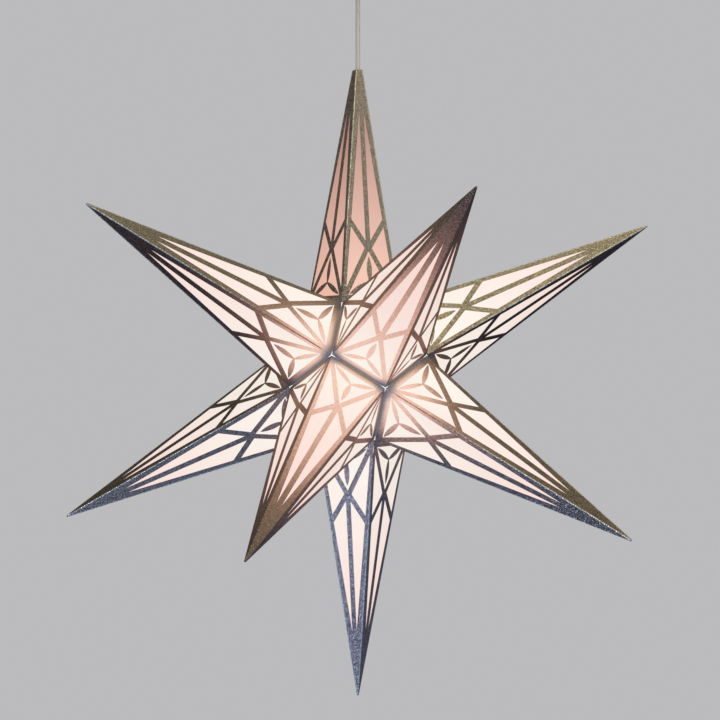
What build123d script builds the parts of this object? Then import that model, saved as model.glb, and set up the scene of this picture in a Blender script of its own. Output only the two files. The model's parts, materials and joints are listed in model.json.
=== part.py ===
from build123d import *
import math
import os

# A lit Christmas star of folded card. Twelve five-sided points stand on the faces of a dodecahedron, and the
# star hangs on its lamp's cord from a ceiling rose. Millimetres, +Z up, origin at the middle of the top face
# of the rose's bracket, which lies against the ceiling.

# Star
star_drop = 430.0  # ceiling to the star's centre
star_reach = 325.0  # star's centre to the end of a point
face_edge = 59.0  # edge of the dodecahedron's faces
card = 0.6  # card, measured level across the base fold
glue_line = 0.1  # between two glued flaps
flap_width = 10.0  # from the fold to the flap's free edge
flap_notch = 5.0  # free width between two flaps at a corner
tip_flat = 0.8  # from the axis to a side of a point's blunt end
tip_solid = 6.0  # glued-up length at a point's end
top_cut = 25.0  # length cut off the top point for the cord

# Hanger in the top point
plug_height = 30.0
plug_recess = 2.0  # plug's top below the cut end
plug_gap = 0.1  # plug to the card
cover_disc_diameter = 10.0
cover_disc_thickness = 0.8
stop_height = 9.0
stop_clearance = 1.5  # cord stop to the card round it
thrust_gap = 0.2  # plug above the cord stop

# Cord
cord_diameter = 4.6
cord_clearance = 0.3  # a bore that runs on the cord, each side
grip_gap = 0.05  # a bore that grips the cord, each side
core_diameter = 1.8

# Screws
screw_diameter = 3.0
thread_gap = 0.05  # screw to its hole, each side
socket_diameter = 1.5  # hexagon socket of a clamp screw
socket_depth = 1.5
slot_width = 0.8  # slot of a terminal screw
slot_depth = 1.0

# LED bulb, hanging head down
light_drop = 8.0  # globe's centre below the star's centre
globe_diameter = 45.0
globe_wall = 1.2
collar_low_diameter = 30.0
collar_top_diameter = 17.0
collar_height = 20.0
board_thickness = 1.5
board_gap = 0.6  # board to the globe's rim
chip_size = 3.0
chip_height = 0.8
chip_count = 8
chip_circle_diameter = 16.0
thread_diameter = 13.8
thread_pitch = 2.82
thread_depth = 0.45
thread_crest = 0.3  # flat between two thread grooves
thread_turns = 6
cap_rim = 3.0  # plain band at each end of the screw cap
cap_wall = 0.9
neck_height = 6.0  # collar's neck inside the screw cap
insulator_height = 2.5
insulator_diameter = 11.0
contact_diameter = 4.6
contact_height = 1.2
contact_rounding = 0.6

# Lamp holder
thread_clearance = 0.35
shell_wall = 0.5
seat_gap = 0.1  # between nested pieces of the holder
insert_wall = 1.6
insert_floor = 4.0
body_wall = 3.4
mouth_gap = 0.8  # holder's mouth above the collar
mouth_lip = 1.0  # shell and insert above the mouth
mouth_rounding = 1.0
contact_gap = 0.2  # spring strip above the bulb's contact
strip_thickness = 0.6
strip_length = 8.0
strip_width = 4.0
cap_height = 20.0
cap_band = 7.0  # straight part of the cap
cap_top_diameter = 13.0
cap_shell = 2.0
cord_tail = 10.0  # cord's end above the insert
gland_height = 12.0
gland_top_diameter = 8.4
terminal_head_diameter = 4.4
terminal_head_height = 2.4
terminal_offset = 5.4

# Ceiling rose
bracket_length = 76.0
bracket_width = 18.0
bracket_thickness = 1.6
ceiling_hole_spacing = 62.0
ceiling_hole_diameter = 4.5
anchor_length = 16.0
anchor_width = 18.0
anchor_height = 14.0
anchor_grip = 8.0  # cord inside the anchor
anchor_screw_spacing = 12.0
core_window = 3.6  # height of the opening for the cores
corner_rounding = 1.5  # anchor and terminal block
screw_head_diameter = 5.6
screw_head_angle = 90.0
screw_bite = 6.0  # bracket screw's length under the bracket
block_gap = 3.0  # anchor to terminal block
block_length = 14.0
block_width = 18.0
block_height = 12.0
pole_spacing = 9.0
tube_diameter = 4.4
tube_bore = 2.6
tube_inset = 1.0
core_end_gap = 0.4  # slanting core's end before its tube
terminal_screw_spacing = 7.0
canopy_diameter = 86.0
canopy_height = 33.0
canopy_wall = 1.2
canopy_rounding = 9.0
rim_gap = 0.3  # canopy's rim below the ceiling
grip_diameter = 14.0
grip_height = 12.0
grip_rounding = 1.4
grip_neck_diameter = 9.8
grip_neck_gap = 0.1
nut_across_flats = 14.0
nut_height = 4.0
neck_proud = 1.0  # grip's neck above its nut

# Dodecahedron: worked out from its edge
sides = 5
half_side_angle = math.radians(180 / sides)
ring_elevation = math.degrees(math.atan(0.5))
base_height = face_edge * math.sqrt((25 + 11 * math.sqrt(5)) / 40)
face_inradius = face_edge / (2 * math.tan(half_side_angle))
sector_angle = math.atan(face_inradius / base_height)

# Card points: heights are along the point's own axis from the star's centre
fold_inradius = face_inradius - glue_line / (2 * math.cos(sector_angle))
flap_drop = flap_width * math.cos(sector_angle)
flap_low = base_height - flap_drop
flap_inradius = fold_inradius - flap_width * math.sin(sector_angle)
fold_radius = fold_inradius / math.cos(half_side_angle)
flap_inner_radius = (flap_inradius - card) / math.cos(half_side_angle)
taper = (fold_inradius - tip_flat) / (star_reach - base_height)
top_end = star_reach - top_cut
star_z = -star_drop


def outer_inradius(height):
    """From a point's axis to the outside of its card, at a height above the base."""
    return tip_flat + taper * (star_reach - height)


def inner_inradius(height):
    """From a point's axis to the inside of its card."""
    return outer_inradius(height) - card


def ring_place(elevation, azimuth, corner_up):
    """Plane at the star's centre, along a point's axis, with X towards one corner of its base."""
    up, round_ = math.radians(elevation), math.radians(azimuth)
    axis = Vector(math.cos(up) * math.cos(round_), math.cos(up) * math.sin(round_), math.sin(up))
    rise = Vector(-math.sin(up) * math.cos(round_), -math.sin(up) * math.sin(round_), math.cos(up))
    return Plane(origin=(0, 0, star_z), x_dir=rise if corner_up else -rise, z_dir=axis)


def upper_place(azimuth):
    return ring_place(ring_elevation, azimuth, corner_up=False)


def lower_place(azimuth):
    return ring_place(-ring_elevation, azimuth, corner_up=True)


def pentagon(place, height, inradius):
    """Five-sided section of a point, square to its axis."""
    with BuildSketch(place.offset(height)) as section:
        RegularPolygon(inradius, sides, major_radius=False)
    return section.sketch


def finish(piece, name):
    """Names a finished piece and writes its STEP file."""
    piece.label = name
    export_step(piece, f"parts/{name}.step")


os.makedirs("parts", exist_ok=True)

# Card points

top_place = Plane(
    origin=(0, 0, star_z),
    x_dir=(math.cos(half_side_angle), math.sin(half_side_angle), 0),
    z_dir=(0, 0, 1),
)
bottom_place = Plane(origin=(0, 0, star_z), x_dir=(1, 0, 0), z_dir=(0, 0, -1))
service_place = upper_place(72)

closed_points = {
    "spike_bottom": bottom_place,
    "spike_upper_right": upper_place(0),
    "spike_upper_back_left": upper_place(144),
    "spike_upper_left": upper_place(216),
    "spike_upper_front": upper_place(288),
    "spike_lower_back_right": lower_place(36),
    "spike_lower_back": lower_place(108),
    "spike_lower_left": lower_place(180),
    "spike_lower_front": lower_place(252),
    "spike_lower_right": lower_place(324),
    "service_spike": service_place,
}

notch_length = 2 * (fold_radius - flap_inner_radius) + flap_notch
hinge_flap_reach = fold_inradius - flap_inradius + 2 * card


def folded_point(place, end, hollow_end):
    """One point of folded card, hollow, with a glue flap folded inwards on each base edge."""
    with BuildPart() as point:
        outer_base = pentagon(place, base_height, fold_inradius)
        inner_base = pentagon(place, base_height, fold_inradius - card)
        loft([outer_base, pentagon(place, end, outer_inradius(end))])
        loft([pentagon(place, flap_low, flap_inradius), outer_base])
        loft([inner_base, pentagon(place, hollow_end, inner_inradius(hollow_end))], mode=Mode.SUBTRACT)
        loft([pentagon(place, flap_low, flap_inradius - card), inner_base], mode=Mode.SUBTRACT)
        with Locations(place.offset(base_height)):
            with PolarLocations(fold_radius, sides):
                Box(
                    notch_length,
                    flap_notch,
                    flap_drop,
                    align=(Align.CENTER, Align.CENTER, Align.MAX),
                    mode=Mode.SUBTRACT,
                )
    return point.part


finish(folded_point(top_place, top_end, top_end), "spike_top")
for name, place in closed_points.items():
    card_point = folded_point(place, star_reach, star_reach - tip_solid)
    if place is service_place:
        # The service point's top edge is its hinge, so the flap there is a piece of its own.
        with BuildPart() as service_spike:
            add(card_point)
            with Locations(place.offset(base_height)):
                with Locations((-fold_inradius, 0)):
                    Box(
                        2 * hinge_flap_reach,
                        face_edge,
                        flap_drop,
                        align=(Align.CENTER, Align.CENTER, Align.MAX),
                        mode=Mode.SUBTRACT,
                    )
        card_point = service_spike.part
    finish(card_point, name)

# The service point's hinge flap, glued to the top point's flap
with BuildPart() as hinge_flap:
    loft(
        [
            pentagon(service_place, flap_low, flap_inradius),
            pentagon(service_place, base_height, fold_inradius),
        ]
    )
    loft(
        [
            pentagon(service_place, flap_low, flap_inradius - card),
            pentagon(service_place, base_height, fold_inradius - card),
        ],
        mode=Mode.SUBTRACT,
    )
    with Locations(service_place.offset(base_height)):
        with Locations((-fold_inradius, 0)):
            Box(
                2 * hinge_flap_reach,
                face_edge - 2 * flap_notch,
                flap_drop,
                align=(Align.CENTER, Align.CENTER, Align.MAX),
                mode=Mode.INTERSECT,
            )
finish(hinge_flap.part, "hinge_flap")

# Hanger in the top point

cord_radius = cord_diameter / 2
running_bore = cord_radius + cord_clearance
gripping_bore = cord_radius + grip_gap
core_offset = core_diameter / 2 + grip_gap  # core from the cord's axis
screw_radius = screw_diameter / 2
screw_hole = screw_radius + thread_gap

plug_high = top_end - plug_recess
plug_low = plug_high - plug_height
with BuildPart() as hanger_plug:
    loft(
        [
            pentagon(top_place, plug_low, inner_inradius(plug_low) - plug_gap),
            pentagon(top_place, plug_high, inner_inradius(plug_high) - plug_gap),
        ]
    )
    with Locations(top_place.offset(plug_high)):
        Hole(running_bore)
finish(hanger_plug.part, "hanger_plug")

with BuildPart() as cover_disc:
    with BuildSketch(top_place.offset(top_end)):
        Circle(cover_disc_diameter / 2)
        Circle(running_bore, mode=Mode.SUBTRACT)
    extrude(amount=cover_disc_thickness)
finish(cover_disc.part, "cover_disc")

stop_high = plug_low - thrust_gap
stop_radius = inner_inradius(stop_high) - stop_clearance
stop_middle = star_z + stop_high - stop_height / 2
with BuildPart() as cord_stop:
    with BuildSketch(top_place.offset(stop_high)):
        Circle(stop_radius)
        Circle(gripping_bore, mode=Mode.SUBTRACT)
    extrude(amount=-stop_height)
    with BuildSketch(Plane(origin=(0, 0, stop_middle), z_dir=(1, 0, 0))):
        Circle(screw_hole)
    extrude(amount=stop_radius, mode=Mode.SUBTRACT)
finish(cord_stop.part, "cord_stop")


def radial_screw(start, end, z, direction):
    """Headless clamp screw that points at the cord, from near the cord out to its socket end."""
    with BuildPart() as screw:
        with BuildSketch(Plane(origin=(0, 0, z), z_dir=direction).offset(start)):
            Circle(screw_radius)
        extrude(amount=end - start)
        with BuildSketch(Plane(origin=(0, 0, z), z_dir=direction).offset(end)):
            RegularPolygon(socket_diameter / 2, 6)
        extrude(amount=-socket_depth, mode=Mode.SUBTRACT)
    return screw.part


finish(
    radial_screw(gripping_bore, stop_radius - thread_gap, stop_middle, (1, 0, 0)),
    "cord_stop_screw",
)

# LED bulb

globe_radius = globe_diameter / 2
globe_z = star_z - light_drop
collar_low = globe_z + math.sqrt(globe_radius**2 - (collar_low_diameter / 2) ** 2)
collar_high = collar_low + collar_height
screw_cap_height = 2 * cap_rim + thread_pitch * thread_turns
screw_cap_high = collar_high + screw_cap_height
insulator_high = screw_cap_high + insulator_height
contact_high = insulator_high + contact_height
thread_radius = thread_diameter / 2
globe_bore = globe_radius - globe_wall
rim_inradius = math.sqrt(globe_bore**2 - (collar_low - globe_z) ** 2)
board_radius = rim_inradius - board_gap

with BuildPart() as bulb_globe:
    with Locations((0, 0, globe_z)):
        Sphere(globe_radius)
        Sphere(globe_bore, mode=Mode.SUBTRACT)
    split(bisect_by=Plane.XY.offset(collar_low), keep=Keep.BOTTOM)
finish(bulb_globe.part, "bulb_globe")

neck_radius = thread_radius - thread_depth - cap_wall - seat_gap
with BuildPart() as bulb_collar:
    with BuildSketch(Plane.XY.offset(collar_low)):
        Circle(collar_low_diameter / 2)
    with BuildSketch(Plane.XY.offset(collar_high)):
        Circle(collar_top_diameter / 2)
    loft()
    with BuildSketch(Plane.XY.offset(collar_high)):
        Circle(neck_radius)
    extrude(amount=neck_height)
finish(bulb_collar.part, "bulb_collar")

with BuildPart() as led_board:
    with BuildSketch(Plane.XY.offset(collar_low)):
        Circle(board_radius)
    extrude(amount=-board_thickness)
finish(led_board.part, "led_board")

with BuildPart() as led_chips:
    with BuildSketch(Plane.XY.offset(collar_low - board_thickness)):
        with PolarLocations(chip_circle_diameter / 2, chip_count):
            Rectangle(chip_size, chip_size)
    extrude(amount=-chip_height)
finish(led_chips.part, "led_chips")

with BuildPart() as bulb_screw_cap:
    with BuildSketch(Plane.XY.offset(collar_high)):
        Circle(thread_radius)
        Circle(neck_radius + seat_gap, mode=Mode.SUBTRACT)
    extrude(amount=screw_cap_height)
    groove_radius = (thread_pitch - thread_crest) / 2
    for turn in range(thread_turns):
        with Locations((0, 0, collar_high + cap_rim + thread_pitch * (turn + 0.5))):
            Torus(thread_radius + groove_radius - thread_depth, groove_radius, mode=Mode.SUBTRACT)
finish(bulb_screw_cap.part, "bulb_screw_cap")

with BuildPart() as bulb_insulator:
    with BuildSketch(Plane.XY.offset(screw_cap_high)):
        Circle(insulator_diameter / 2)
    with BuildSketch(Plane.XY.offset(insulator_high)):
        Circle(contact_diameter / 2)
    loft()
finish(bulb_insulator.part, "bulb_insulator")

with BuildPart() as bulb_contact:
    with BuildSketch(Plane.XY.offset(insulator_high)):
        Circle(contact_diameter / 2)
    extrude(amount=contact_height)
    fillet(bulb_contact.edges().group_by(Axis.Z)[-1], contact_rounding)
finish(bulb_contact.part, "bulb_contact")

# Lamp holder

shell_bore = thread_radius + thread_clearance
shell_radius = shell_bore + shell_wall
insert_bore = shell_radius + seat_gap
insert_radius = insert_bore + insert_wall
body_bore = insert_radius + seat_gap
holder_radius = body_bore + body_wall
mouth_z = collar_high + mouth_gap
strip_low = contact_high + contact_gap
floor_low = strip_low + strip_thickness
holder_top = floor_low + insert_floor
cap_high = holder_top + cap_height
gland_high = cap_high + gland_height
cord_end = holder_top + cord_tail

with BuildPart() as holder_shell:
    with BuildSketch(Plane.XY.offset(mouth_z + mouth_lip)):
        Circle(shell_radius)
        Circle(shell_bore, mode=Mode.SUBTRACT)
    extrude(amount=screw_cap_high - mouth_z - mouth_lip)
finish(holder_shell.part, "holder_shell")

with BuildPart() as holder_insert:
    with BuildSketch(Plane.XY.offset(mouth_z + mouth_lip)):
        Circle(insert_radius)
    extrude(amount=holder_top - mouth_z - mouth_lip)
    with BuildSketch(Plane.XY.offset(mouth_z + mouth_lip)):
        Circle(insert_bore)
    extrude(amount=floor_low - mouth_z - mouth_lip, mode=Mode.SUBTRACT)
finish(holder_insert.part, "holder_insert")

with BuildPart() as holder_contacts:
    with BuildSketch(Plane.XY.offset(floor_low)):
        Rectangle(strip_length, strip_width)
    extrude(amount=-strip_thickness)
    with BuildSketch(Plane.XY.offset(screw_cap_high)):
        Circle(shell_radius)
        Circle(shell_bore, mode=Mode.SUBTRACT)
        with Locations((0, shell_radius)):
            Rectangle(strip_width, shell_radius, mode=Mode.INTERSECT)
    extrude(amount=floor_low - screw_cap_high)
finish(holder_contacts.part, "holder_contacts")

with BuildPart() as holder_body:
    with BuildSketch(Plane.XY.offset(mouth_z)):
        Circle(holder_radius)
        Circle(body_bore, mode=Mode.SUBTRACT)
    extrude(amount=holder_top - mouth_z)
    rim = holder_body.edges().filter_by(GeomType.CIRCLE).group_by(Axis.Z)[0]
    fillet(rim, mouth_rounding)
finish(holder_body.part, "holder_body")

with BuildPart() as holder_cap:
    with BuildSketch(Plane.XZ):
        with BuildLine():
            Polyline(
                (running_bore, holder_top),
                (holder_radius, holder_top),
                (holder_radius, holder_top + cap_band),
                (cap_top_diameter / 2, cap_high),
                (running_bore, cap_high),
                close=True,
            )
        make_face()
    revolve(axis=Axis.Z)
    with BuildSketch(Plane.XZ):
        with BuildLine():
            Polyline(
                (0, holder_top),
                (holder_radius - cap_shell, holder_top),
                (holder_radius - cap_shell, holder_top + cap_band - cap_shell / 2),
                (cap_top_diameter / 2 - cap_shell / 2, cap_high - cap_shell),
                (0, cap_high - cap_shell),
                close=True,
            )
        make_face()
    revolve(axis=Axis.Z, mode=Mode.SUBTRACT)
    widest = holder_cap.edges().filter_by(GeomType.CIRCLE).sort_by(SortBy.RADIUS)[-2:]
    fillet(widest.sort_by(Axis.Z)[-1], cap_shell)
finish(holder_cap.part, "holder_cap")

with BuildPart() as holder_gland:
    with BuildSketch(Plane.XY.offset(cap_high)):
        Circle(cap_top_diameter / 2)
    with BuildSketch(Plane.XY.offset(gland_high)):
        Circle(gland_top_diameter / 2)
    loft()
    with Locations((0, 0, gland_high)):
        Hole(gripping_bore)
finish(holder_gland.part, "holder_gland")

with BuildPart() as holder_screws:
    with BuildSketch(Plane.XY.offset(holder_top)):
        with Locations((0, -terminal_offset), (0, terminal_offset)):
            Circle(terminal_head_diameter / 2)
    extrude(amount=terminal_head_height)
    with Locations((0, -terminal_offset, holder_top), (0, terminal_offset, holder_top)):
        with Locations((0, 0, terminal_head_height)):
            Box(terminal_head_diameter, slot_width, 2 * slot_depth, mode=Mode.SUBTRACT)
finish(holder_screws.part, "holder_screws")


def straight_cores(ends):
    """Cores of the cord, each a straight insulated wire between two points."""
    with BuildPart() as cores:
        for start, end in ends:
            along = Vector(*end) - Vector(*start)
            with BuildSketch(Plane(origin=start, z_dir=along)):
                Circle(core_diameter / 2)
            extrude(amount=along.length)
    return cores.part


core_rest = holder_top + terminal_head_height + core_diameter / 2
core_start = cord_end - core_diameter / 2
lamp_core_ends = [
    ((0, side * core_offset, core_start), (0, side * terminal_offset, core_rest)) for side in (-1, 1)
]
finish(straight_cores(lamp_core_ends), "lamp_cores")

# Ceiling rose

bracket_low = -bracket_thickness
anchor_low = bracket_low - anchor_height
cord_top = anchor_low + anchor_grip
block_x = anchor_length / 2 + block_gap + block_length / 2
block_low = bracket_low - block_height
head_radius = screw_head_diameter / 2
bracket_screw_places = [
    (0, -anchor_screw_spacing / 2),
    (0, anchor_screw_spacing / 2),
    (block_x, 0),
]

with BuildPart() as rose_bracket:
    with BuildSketch():
        SlotOverall(bracket_length, bracket_width)
        with GridLocations(ceiling_hole_spacing, 0, 2, 1):
            Circle(ceiling_hole_diameter / 2, mode=Mode.SUBTRACT)
    extrude(amount=-bracket_thickness)
    with Locations(*bracket_screw_places):
        CounterSinkHole(screw_hole, head_radius + thread_gap, counter_sink_angle=screw_head_angle)
finish(rose_bracket.part, "rose_bracket")

with BuildPart() as bracket_screws:
    with Locations(*bracket_screw_places):
        Cylinder(
            screw_radius,
            bracket_thickness + screw_bite,
            align=(Align.CENTER, Align.CENTER, Align.MAX),
        )
        head_height = (head_radius - screw_radius) / math.tan(math.radians(screw_head_angle / 2))
        Cone(
            screw_radius,
            head_radius,
            head_height,
            align=(Align.CENTER, Align.CENTER, Align.MAX),
        )
finish(bracket_screws.part, "bracket_screws")

core_level = cord_top + core_diameter / 2 + grip_gap
with BuildPart() as cord_anchor:
    with BuildSketch(Plane.XY.offset(bracket_low)):
        RectangleRounded(anchor_length, anchor_width, corner_rounding)
    extrude(amount=-anchor_height)
    with BuildSketch(Plane.XY.offset(anchor_low)):
        Circle(gripping_bore)
    extrude(amount=anchor_grip + core_window, mode=Mode.SUBTRACT)
    with BuildSketch(Plane.XY.offset(cord_top)):
        with Locations((anchor_length / 4, 0)):
            Rectangle(anchor_length / 2, pole_spacing + core_diameter)
    extrude(amount=core_window, mode=Mode.SUBTRACT)
    with BuildSketch(Plane(origin=(0, 0, anchor_low + anchor_grip / 2), z_dir=(-1, 0, 0))):
        Circle(screw_hole)
    extrude(amount=anchor_length, mode=Mode.SUBTRACT)
    with Locations((0, -anchor_screw_spacing / 2, bracket_low), (0, anchor_screw_spacing / 2, bracket_low)):
        Cylinder(
            screw_hole,
            screw_bite + thread_gap,
            align=(Align.CENTER, Align.CENTER, Align.MAX),
            mode=Mode.SUBTRACT,
        )
finish(cord_anchor.part, "cord_anchor")
finish(
    radial_screw(gripping_bore, anchor_length / 2 - thread_gap, anchor_low + anchor_grip / 2, (-1, 0, 0)),
    "anchor_clamp_screw",
)

tube_level = core_level
tube_radius = tube_diameter / 2
tube_start = block_x - block_length / 2 + tube_inset
tube_end = block_x + block_length / 2 - tube_inset
pole_ys = (-pole_spacing / 2, pole_spacing / 2)
terminal_xs = (block_x - terminal_screw_spacing / 2, block_x + terminal_screw_spacing / 2)
with BuildPart() as terminal_block:
    with BuildSketch(Plane.XY.offset(bracket_low)):
        with Locations((block_x, 0)):
            RectangleRounded(block_length, block_width, corner_rounding)
    extrude(amount=-block_height)
    with BuildSketch(Plane.YZ.offset(block_x - block_length / 2)):
        with Locations(*[(y, tube_level) for y in pole_ys]):
            Circle(tube_radius + seat_gap)
    extrude(amount=block_length, mode=Mode.SUBTRACT)
    with BuildSketch(Plane.XY.offset(block_low)):
        with Locations(*[(x, y) for x in terminal_xs for y in pole_ys]):
            Circle(screw_hole)
    extrude(amount=tube_level - block_low, mode=Mode.SUBTRACT)
    with Locations((block_x, 0, bracket_low)):
        Cylinder(
            screw_hole,
            screw_bite + thread_gap,
            align=(Align.CENTER, Align.CENTER, Align.MAX),
            mode=Mode.SUBTRACT,
        )
finish(terminal_block.part, "terminal_block")

with BuildPart() as terminal_tubes:
    with BuildSketch(Plane.YZ.offset(tube_start)):
        with Locations(*[(y, tube_level) for y in pole_ys]):
            Circle(tube_radius)
            Circle(tube_bore / 2, mode=Mode.SUBTRACT)
    extrude(amount=tube_end - tube_start)
finish(terminal_tubes.part, "terminal_tubes")

with BuildPart() as terminal_screws:
    with BuildSketch(Plane.XY.offset(block_low)):
        with Locations(*[(x, y) for x in terminal_xs for y in pole_ys]):
            Circle(screw_radius)
    extrude(amount=tube_level - tube_radius - thread_gap - block_low)
    with Locations(*[(x, y, block_low) for x in terminal_xs for y in pole_ys]):
        Box(screw_diameter, slot_width, 2 * slot_depth, mode=Mode.SUBTRACT)
finish(terminal_screws.part, "terminal_screws")

supply_core_ends = [
    ((0, side * core_offset, core_level), (tube_start - core_end_gap, side * pole_spacing / 2, core_level))
    for side in (-1, 1)
]
finish(straight_cores(supply_core_ends), "supply_cores")

canopy_high = -rim_gap
canopy_low = canopy_high - canopy_height
plate_top = canopy_low + canopy_wall
grip_low = canopy_low - grip_height
neck_high = plate_top + nut_height + neck_proud
neck_hole = grip_neck_diameter / 2 + grip_neck_gap

with BuildPart() as canopy:
    with BuildSketch(Plane.XY.offset(canopy_low)):
        Circle(canopy_diameter / 2)
    extrude(amount=canopy_height)
    fillet(canopy.edges().group_by(Axis.Z)[0], canopy_rounding)
    offset(amount=-canopy_wall, openings=canopy.faces().sort_by(Axis.Z)[-1])
    with Locations((0, 0, plate_top)):
        Hole(neck_hole)
finish(canopy.part, "canopy")

with BuildPart() as canopy_grip:
    with BuildSketch(Plane.XY.offset(canopy_low)):
        Circle(grip_diameter / 2)
    extrude(amount=-grip_height)
    fillet(canopy_grip.edges().group_by(Axis.Z)[0], grip_rounding)
    with BuildSketch(Plane.XY.offset(canopy_low)):
        Circle(grip_neck_diameter / 2)
    extrude(amount=neck_high - canopy_low)
    with Locations((0, 0, neck_high)):
        Hole(running_bore)
    with BuildSketch(Plane(origin=(0, 0, canopy_low - grip_height / 2), z_dir=(0, -1, 0))):
        Circle(screw_hole)
    extrude(amount=grip_diameter, mode=Mode.SUBTRACT)
finish(canopy_grip.part, "canopy_grip")

with BuildPart() as grip_nut:
    with BuildSketch(Plane.XY.offset(plate_top)):
        RegularPolygon(nut_across_flats / 2, 6, major_radius=False)
        Circle(neck_hole, mode=Mode.SUBTRACT)
    extrude(amount=nut_height)
finish(grip_nut.part, "grip_nut")

finish(
    radial_screw(running_bore, grip_diameter / 2 - thread_gap, canopy_low - grip_height / 2, (0, -1, 0)),
    "grip_screw",
)

# Cord: held inside the star, free above it, and held again inside the rose


def cord_stretch(low, high):
    """Straight stretch of the cord, which the star's weight pulls tight."""
    with BuildPart() as stretch:
        with BuildSketch(Plane.XY.offset(low)):
            Circle(cord_radius)
        extrude(amount=high - low)
    return stretch.part


cord_exit = star_z + top_end + cover_disc_thickness
finish(cord_stretch(cord_end, cord_exit), "lamp_cord")
finish(cord_stretch(cord_exit, grip_low), "hanging_cord")
finish(cord_stretch(grip_low, cord_top), "rose_cord")
print(f"free cord {grip_low - cord_exit:.1f} long, star {2 * star_reach:.0f} from point to point")
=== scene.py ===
# %% [markdown]
# # A lit Christmas star of folded card
#
# Twelve five-sided points of white card, printed with a silver lattice, stand on the faces of a
# dodecahedron. A bulb inside makes the card glow, and the star hangs on the bulb's own cord. The pieces'
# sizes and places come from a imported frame, which is loaded first and never moved.

# %% The frame
import json
import math

import bpy
from mathutils import Matrix, Vector


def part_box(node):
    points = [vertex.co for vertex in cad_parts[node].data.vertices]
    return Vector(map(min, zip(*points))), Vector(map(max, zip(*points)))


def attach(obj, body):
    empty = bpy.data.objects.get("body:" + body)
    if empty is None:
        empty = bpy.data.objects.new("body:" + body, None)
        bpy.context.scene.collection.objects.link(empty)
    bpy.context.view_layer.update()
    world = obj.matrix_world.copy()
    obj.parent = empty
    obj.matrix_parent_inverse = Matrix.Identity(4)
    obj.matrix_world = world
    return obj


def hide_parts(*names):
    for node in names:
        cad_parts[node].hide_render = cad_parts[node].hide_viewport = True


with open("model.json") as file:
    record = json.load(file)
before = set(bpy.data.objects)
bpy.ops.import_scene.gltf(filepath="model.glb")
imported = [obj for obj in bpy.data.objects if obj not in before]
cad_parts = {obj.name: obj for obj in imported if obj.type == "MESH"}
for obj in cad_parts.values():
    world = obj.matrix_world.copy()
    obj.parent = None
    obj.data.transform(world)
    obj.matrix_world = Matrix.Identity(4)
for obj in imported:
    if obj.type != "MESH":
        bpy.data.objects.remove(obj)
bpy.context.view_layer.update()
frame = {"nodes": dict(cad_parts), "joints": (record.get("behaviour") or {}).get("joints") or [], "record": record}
bpy.ops.object.select_all(action="DESELECT")
scene = bpy.context.scene
scene.view_settings.view_transform = "Standard"

joints = {joint["name"]: joint for joint in frame["joints"]}
star_centre = Vector(joints["star_swivel"]["pos_m"])
print(f"star's centre at {star_centre.z:.3f} m")

# %% [markdown]
# ## The camera
#
# A camera is set by its place, its direction and its lens. Here they were found by matching the ends of
# the visible points with the photograph: the camera stands about 1.2 m in front of the star, level with
# its centre, and looks along +Y.

# %% Camera
camera_from_star = Vector((-0.0107, -1.2310, 0.0108))
camera_yaw = math.radians(-0.60)
camera_pitch = math.radians(90)
camera_lens = 61.45  # millimetres
sensor_width = 36  # millimetres

camera_data = bpy.data.cameras.new("camera")
camera_data.sensor_width = sensor_width
camera_data.lens = camera_lens
camera = bpy.data.objects.new("camera", camera_data)
scene.collection.objects.link(camera)
camera.location = star_centre + camera_from_star
camera.rotation_euler = (camera_pitch, 0, camera_yaw)
scene.camera = camera
print(f"camera {camera_from_star.length:.2f} m from the star's centre")

# %% [markdown]
# ## Shader maths
#
# A finish is a tree of shader nodes, and arithmetic in it needs one Math node for each step. `Wire` wraps
# a node's output and turns Python's operators into those nodes, so that a mask can be written as a
# formula.


# %% Wires
class Wire:
    """The output of a shader node. Arithmetic on it adds Math nodes."""

    def __init__(self, finish, socket):
        self.finish = finish
        self.socket = socket

    def maths(self, operation, *others):
        """A Math node with this wire as its first input."""
        inputs = dict(enumerate((self, *others)))
        return self.finish.node("ShaderNodeMath", {"operation": operation}, inputs)

    def __add__(self, other):
        return self.maths("ADD", other)

    def __sub__(self, other):
        return self.maths("SUBTRACT", other)

    def __rsub__(self, other):
        return self.finish.node("ShaderNodeMath", {"operation": "SUBTRACT"}, {0: other, 1: self})

    def __mul__(self, other):
        return self.maths("MULTIPLY", other)

    __radd__ = __add__
    __rmul__ = __mul__

    def share(self, low, high, way="LINEAR"):
        """0 below low, 1 above high, and even between."""
        inputs = {"Value": self, "From Min": low, "From Max": high}
        return self.finish.node("ShaderNodeMapRange", {"interpolation_type": way}, inputs)

    def step(self, low, high):
        """0 below low, 1 above high, and smooth between."""
        return self.share(low, high, "SMOOTHSTEP")


print("wires ready")

# %% [markdown]
# ## Finishes
#
# `Finish` makes a material with a Principled shader, adds any other node by its type, and plugs values or
# wires into sockets. Its last methods are textures that several finishes share. They read Object
# coordinates, so a pattern keeps its real size and stays on its piece when the piece moves.


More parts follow.
